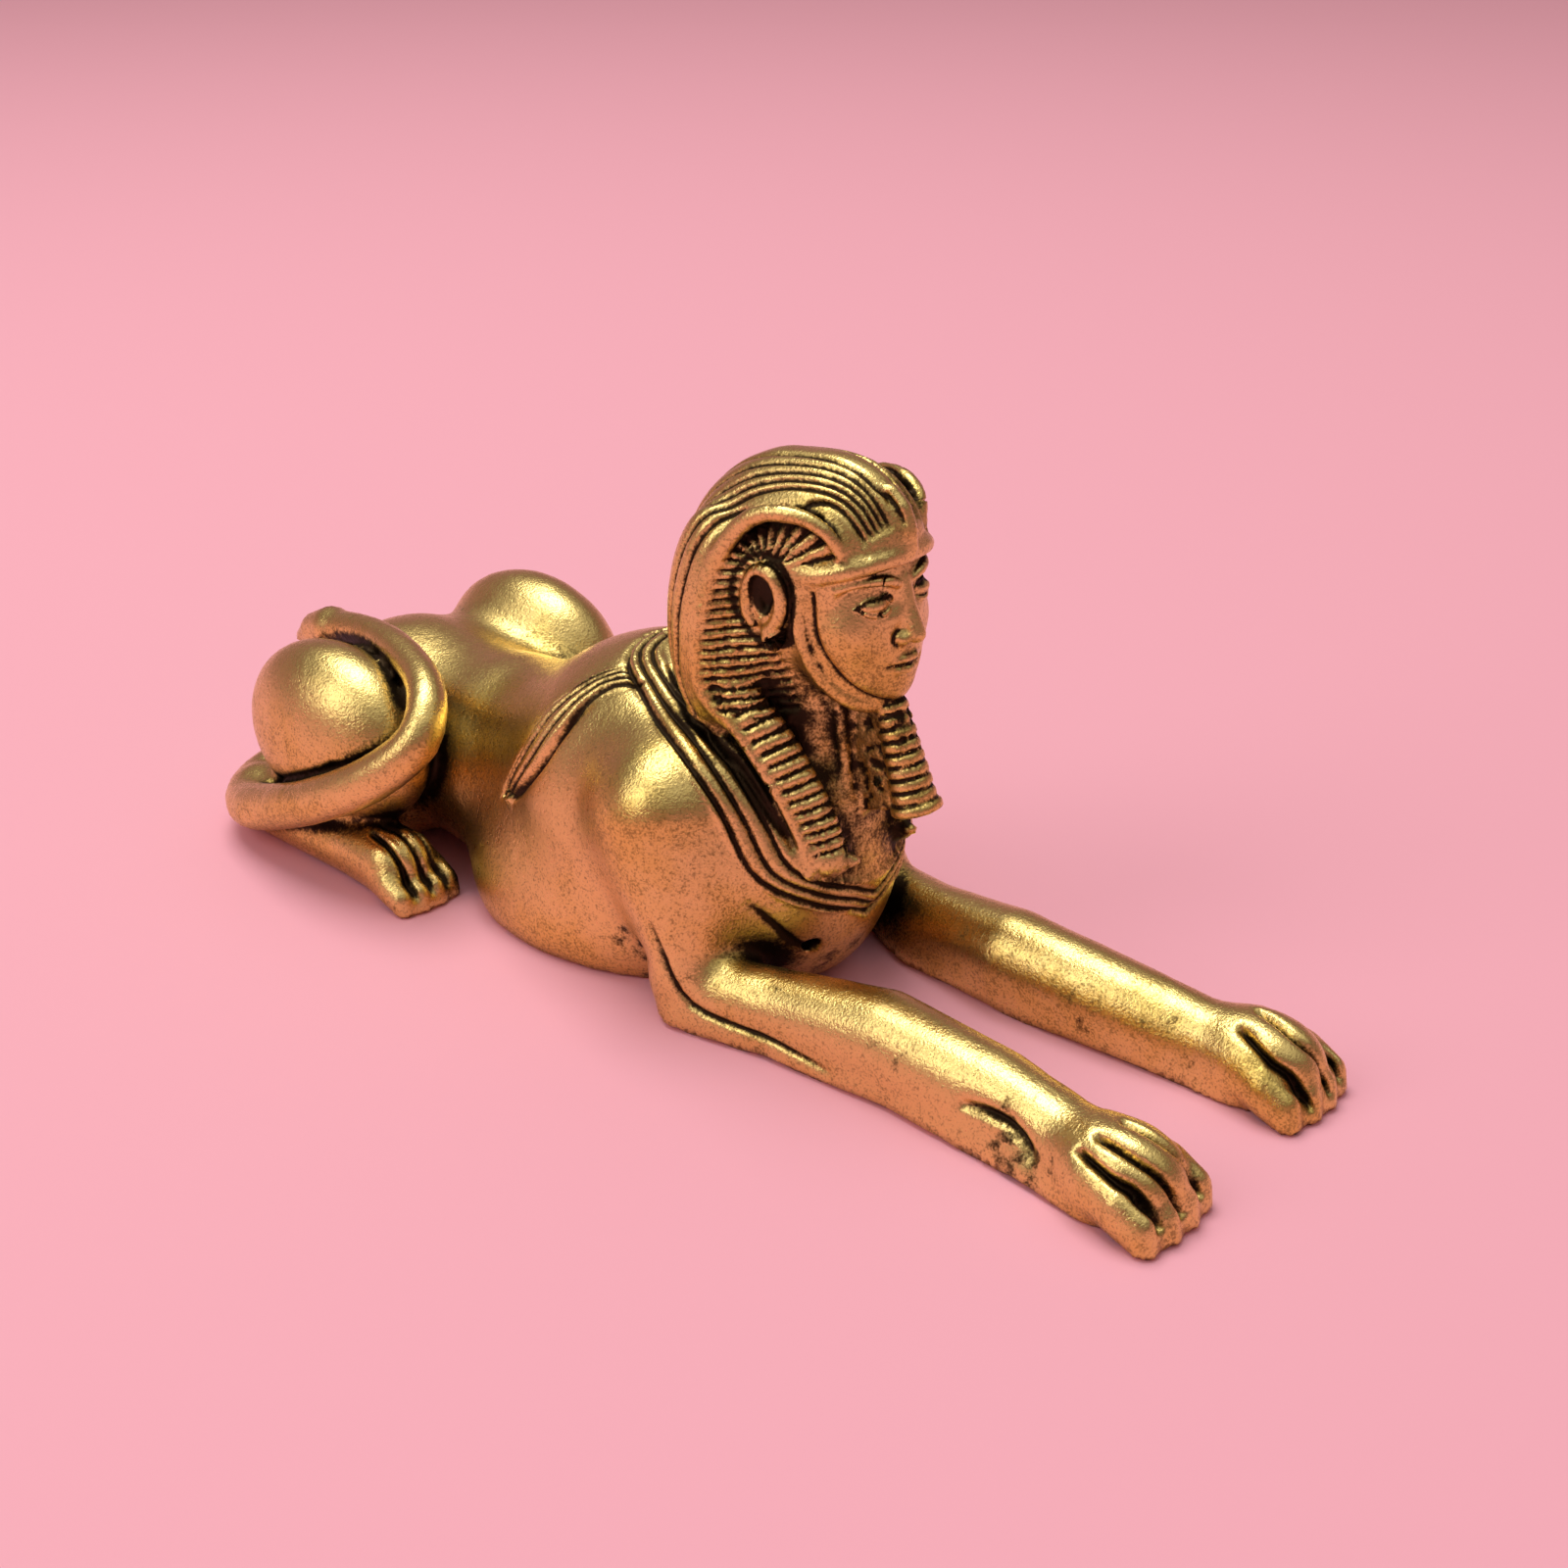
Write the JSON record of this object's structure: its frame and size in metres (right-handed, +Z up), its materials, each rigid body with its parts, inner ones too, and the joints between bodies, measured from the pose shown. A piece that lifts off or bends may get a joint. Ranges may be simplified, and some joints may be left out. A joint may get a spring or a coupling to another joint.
{
  "type": "sphinx statue",
  "caption": "Small cast brass reclining sphinx with striped headcloth, false beard, broad collar and curled tail, on a flat underside.",
  "frame": {"origin": "on the ground under the middle of the bounding box", "axes": "+Z up, -Y the way the sphinx faces, +X its own left side"},
  "size_m": [0.0282, 0.0794, 0.0344],
  "materials": {
    "brass": "antiqued cast brass, polished on the high parts, dark patina in the carving"
  },
  "bodies": {
    "root": {"sphinx": "brass"}
  },
  "joints": []
}
